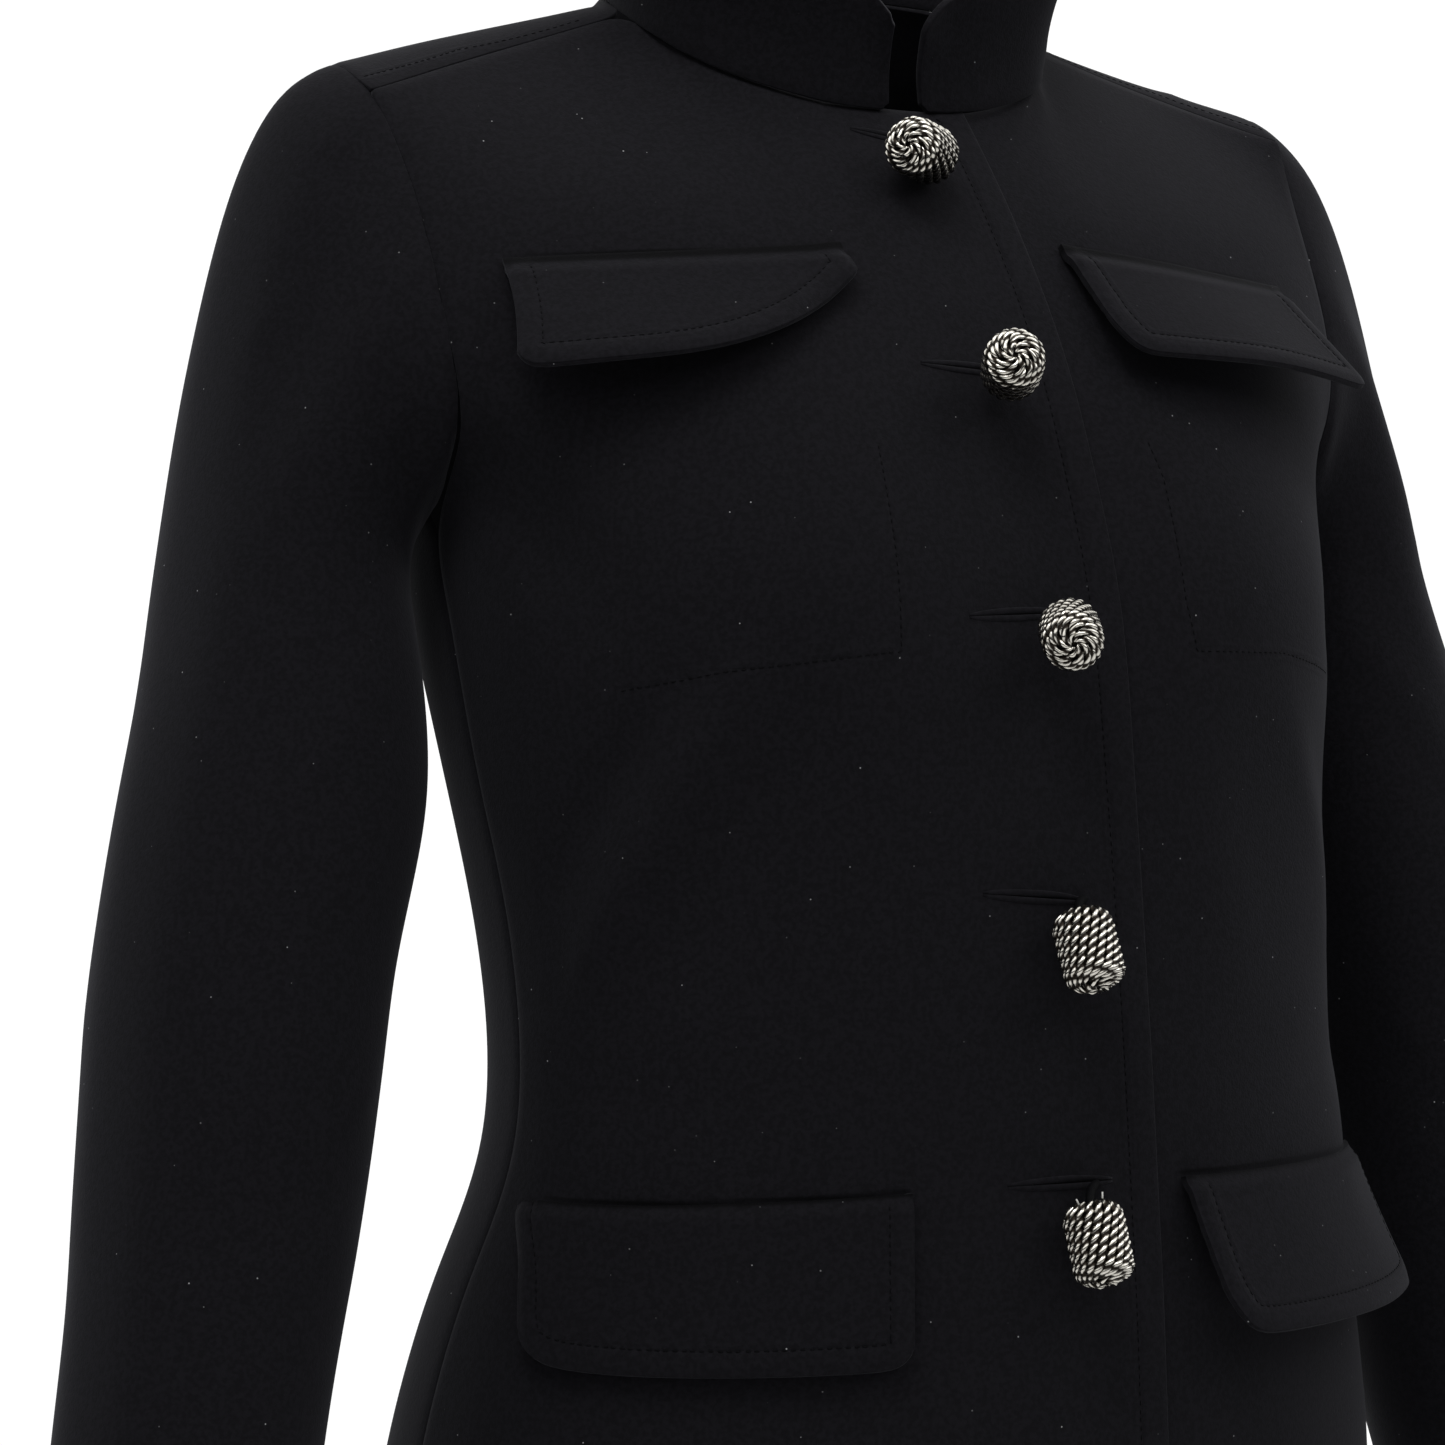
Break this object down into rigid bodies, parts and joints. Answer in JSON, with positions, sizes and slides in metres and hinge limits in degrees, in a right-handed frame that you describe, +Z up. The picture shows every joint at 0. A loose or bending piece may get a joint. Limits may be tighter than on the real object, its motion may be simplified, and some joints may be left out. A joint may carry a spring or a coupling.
{
  "type": "four-pocket jacket",
  "caption": "Fitted black wool jacket with a stand collar, set-in sleeves, flapped chest and hip pockets and domed rope-twist metal buttons down the front, shown as worn.",
  "frame": {"origin": "middle of the neck opening, level with the middle of the collar at the back, where a hanger or wearer holds the jacket", "axes": "+Z up towards the collar, -Y the way the buttoned front faces, +X the wearer's left"},
  "size_m": [0.6596, 0.3175, 0.6633],
  "materials": {
    "wool": "fine matt crepe weave",
    "button_metal": "dark silver, satin"
  },
  "bodies": {
    "root": {"front_right": "wool", "front_left": "wool", "back": "wool", "collar": "wool", "sleeve_right": "wool", "sleeve_left": "wool", "chest_flap_right": "wool", "chest_flap_left": "wool", "hip_flap_right": "wool", "hip_flap_left": "wool", "button_1": "button_metal", "button_2": "button_metal", "button_3": "button_metal", "button_4": "button_metal", "button_5": "button_metal"}
  },
  "joints": []
}
